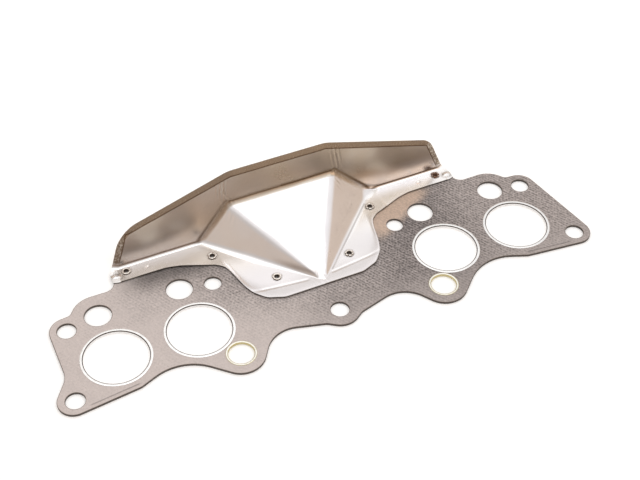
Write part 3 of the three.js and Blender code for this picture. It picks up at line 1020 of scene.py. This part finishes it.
# Real stains and flecks, and painted shade in the folds, darken the steel.
dark = (stained * 0.7).larger(crease * 0.9).larger(shade_mask).larger(fleck)
steel = bright_sheet.blend(dark, steel, STAIN_AND_SHADE)
steel = bright_sheet.tint(steel, 1 + 0.14 * (cloud - 0.5) + 0.04 * (fine - 0.5))
bright_sheet.surface(
    Base_Color=steel,
    Roughness=0.19 + 0.1 * cloud + 0.03 * fine + 0.3 * stained,
    Metallic=1.0,
    Normal=bright_sheet.bump(0.6 * roll + 0.4 * fine, 0.008, 0.5),
)

# The sheared edge is painted near black: partly its own colour, partly the painted shadow of the
# gap under the flange's edge.
raw_edge = Finish(bpy.data.materials.new("sheared_edge"))
at = raw_edge.millimetres()
tear = raw_edge.noise(raw_edge.stretched(at, (1, 1, 0.2)), 0.5, 3)
raw_edge.surface(
    Base_Color=raw_edge.tint(SHEARED_EDGE_AND_SHADOW, 0.6 + 0.8 * tear),
    Roughness=0.35 + 0.3 * tear,
    Metallic=0.5,
    Normal=raw_edge.bump(tear, 0.04, 0.6),
)

points, faces, kinds, shade_mask = shield_mesh()
shield = solid("folded_shield", points, faces, [bright_sheet, raw_edge], kinds, sharp=40)
# The painted shade is kept on the front skin only.
layer = shield.data.attributes.new("painted_shade", "FLOAT", "POINT")
layer.data.foreach_set("value", np.concatenate((shade_mask, 0 * shade_mask)).astype(np.float32))
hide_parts("heat_shield")


# ---- Rivets ----
# Six pierced eyelet rivets clench the shield to the plate. The left ones are rolled over in a
# smooth ring and the right ones split into petals, and the right-hand end one has rusted.

HEAD_R = 2.75
RIVET_COLOUR = (0.84, 0.80, 0.75, 1)
RUST = (0.22, 0.115, 0.07, 1)
# Painted shade down the bore.
BORE_SHADE = (0.05, 0.04, 0.035, 1)

rivet_steel = Finish(bpy.data.materials.new("rivet_steel"))
at = rivet_steel.millimetres()
x, y, z = rivet_steel.axes(at)
mottle = rivet_steel.noise(at, 0.7, 3, 0.7)
rusty = rivet_steel.rise(x, 96, 99) * 0.5 + 0.12
rust = rivet_steel.rise(mottle + 0.35 * rusty, 0.55, 0.72)
# Painted shade: the bore and the underside of the head are painted dark.
sunk = rivet_steel.rise(z, 2.62, 2.25)
clean = rivet_steel.tint(RIVET_COLOUR, 0.8 + 0.5 * mottle)
clean = rivet_steel.blend(sunk * 0.9, clean, BORE_SHADE)
rivet_steel.surface(
    Base_Color=rivet_steel.blend(rust, clean, RUST),
    Roughness=0.3 + 0.4 * rust,
    Metallic=1 - 0.6 * rust,
    Normal=rivet_steel.bump(mottle, 0.06, 0.6),
)

RIVET_PROFILE = [
    (1.15, 0), (2.15, 0), (2.2, 0.05), (2.2, PRESSED_IN), (1.7, PRESSED_IN), (1.7, 2.03),
    (2.45, 2.06), (HEAD_R - 0.05, 2.16), (HEAD_R, 2.3), (HEAD_R - 0.06, 2.46),
    (HEAD_R - 0.3, 2.62), (HEAD_R - 0.6, 2.7), (HEAD_R - 0.9, 2.66), (1.6, 2.5), (1.42, 2.25),
    (1.3, 1.9), (1.2, 1.3), (1.12, 0.4),
]
for s, label in ((-1, "left"), (1, "right")):
    for number, (rx, ry) in enumerate(RIVETS, 1):
        def clench(rr, zz, a, split=s > 0, phase=number * 0.9):
            head = np.clip((zz - 2.0) / 0.3, 0, 1)
            if split:
                notch = np.clip(np.cos(6 * a + phase), 0, 1) ** 6
                outer = np.clip((rr - 1.5) / 0.8, 0, 1)
                return rr - 0.8 * notch * outer * head, zz - 0.35 * notch * outer * head
            lump = 0.07 * np.sin(3 * a + phase) + 0.05 * np.sin(7 * a + 2 * phase)
            return rr + lump * head, zz + 0.5 * lump * head

        points, faces = lathe(RIVET_PROFILE, s * rx, ry, 72, clench)
        rivet = solid(f"rivet_{label}_{number}_eyelet", points, faces, [rivet_steel], sharp=60)
        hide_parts(f"rivet_{label}_{number}")


corners = {"cad": [list(c) for c in cad_size], "visual": [list(c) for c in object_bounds()]}
